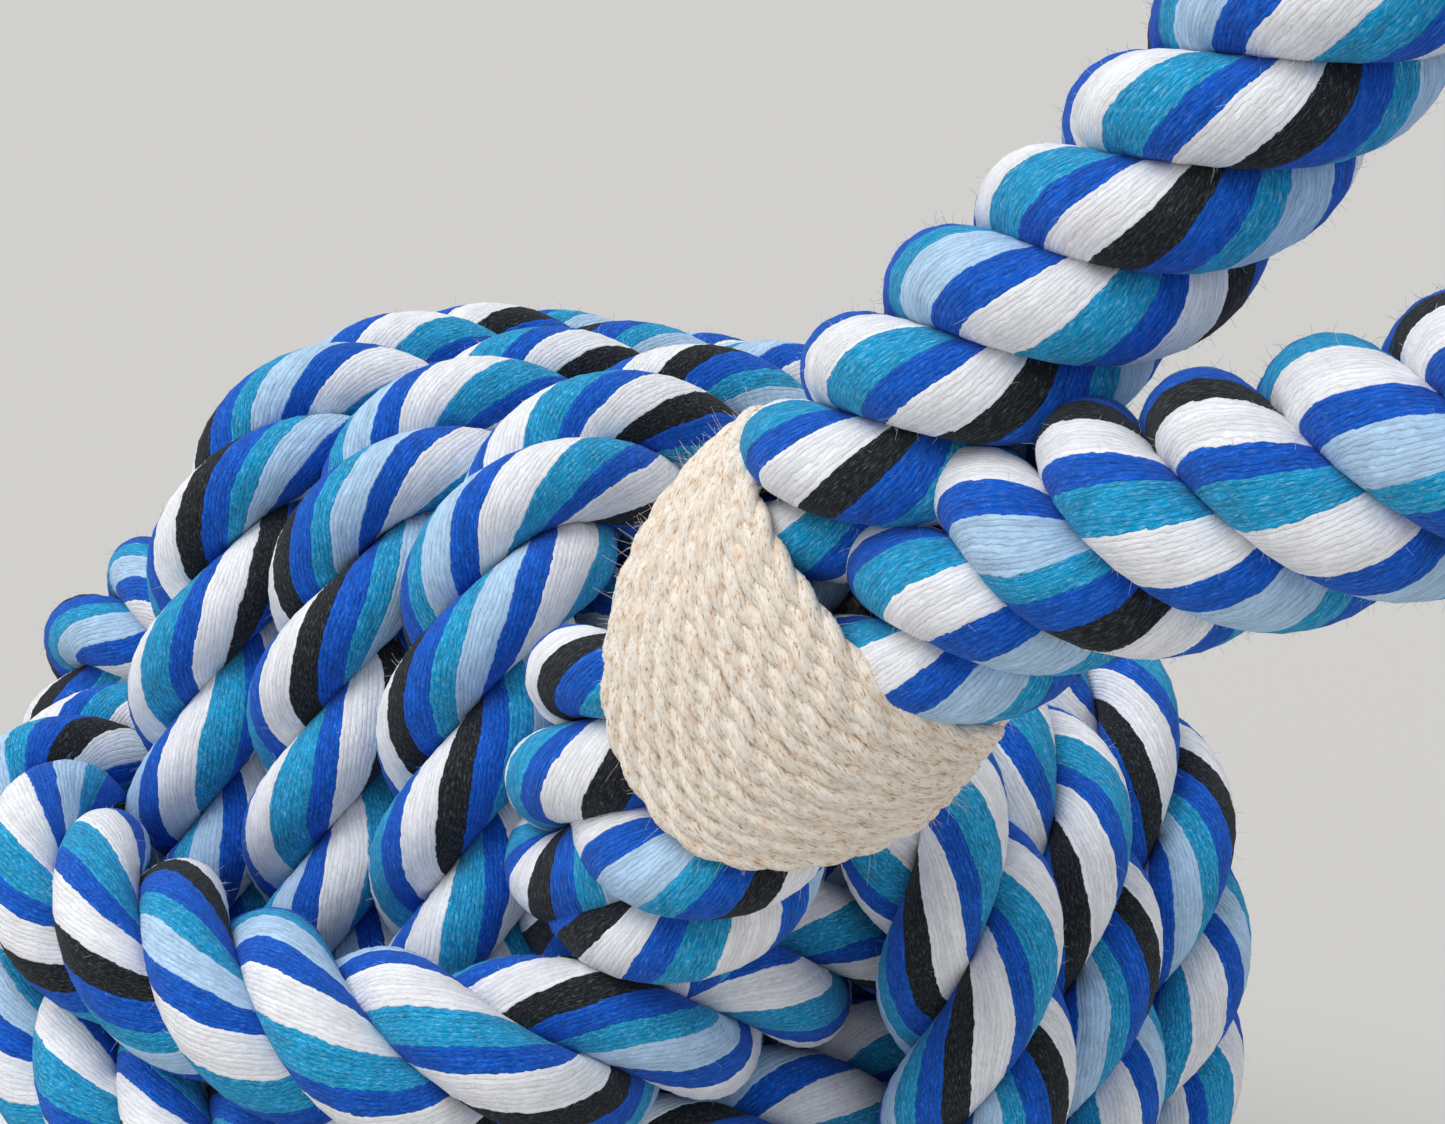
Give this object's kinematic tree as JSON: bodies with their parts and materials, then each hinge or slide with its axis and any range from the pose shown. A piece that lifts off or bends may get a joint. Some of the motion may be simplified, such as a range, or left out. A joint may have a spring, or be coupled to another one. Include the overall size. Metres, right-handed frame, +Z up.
{
  "type": "rope ball with loop handle",
  "caption": "Monkey's-fist ball tied from thick laid cotton rope, with a doubled rope loop handle bound at the neck by a barrel of natural twine.",
  "frame": {"origin": "on the floor under the middle of the ball, on the flattened underside of the middle top turn", "axes": "+Z up; the handle leaves the ball's corner between +X, -Y and +Z"},
  "size_m": [0.31, 0.1542, 0.2759],
  "materials": {
    "ball_rope": "striped cotton yarn, matt",
    "handle_rope": "striped cotton yarn, hard laid, matt",
    "jute_twine": "natural jute, hairy",
    "core_rubber": "matt"
  },
  "bodies": {
    "ball": {"core_ball": "core_rubber", "top_turn_1": "ball_rope", "top_turn_2": "ball_rope", "top_turn_3": "ball_rope", "front_turn_1": "ball_rope", "front_turn_2": "ball_rope", "front_turn_3": "ball_rope", "side_turn_1": "ball_rope", "side_turn_2": "ball_rope", "side_turn_3": "ball_rope", "leg_root_upper": "ball_rope", "leg_root_lower": "ball_rope"},
    "handle": {"leg_neck_upper": "handle_rope", "leg_neck_lower": "handle_rope", "leg_upper": "handle_rope", "handle_bight": "handle_rope", "leg_lower": "handle_rope", "twine_whipping": "jute_twine"}
  },
  "joints": [
    {"name": "neck_flex", "type": "hinge", "parent": "ball", "child": "handle", "pos_m": [0.0508, -0.0444, 0.1239], "axis": [0.7049, 0.01, -0.7092], "range_deg": [-12, 12]}
  ]
}
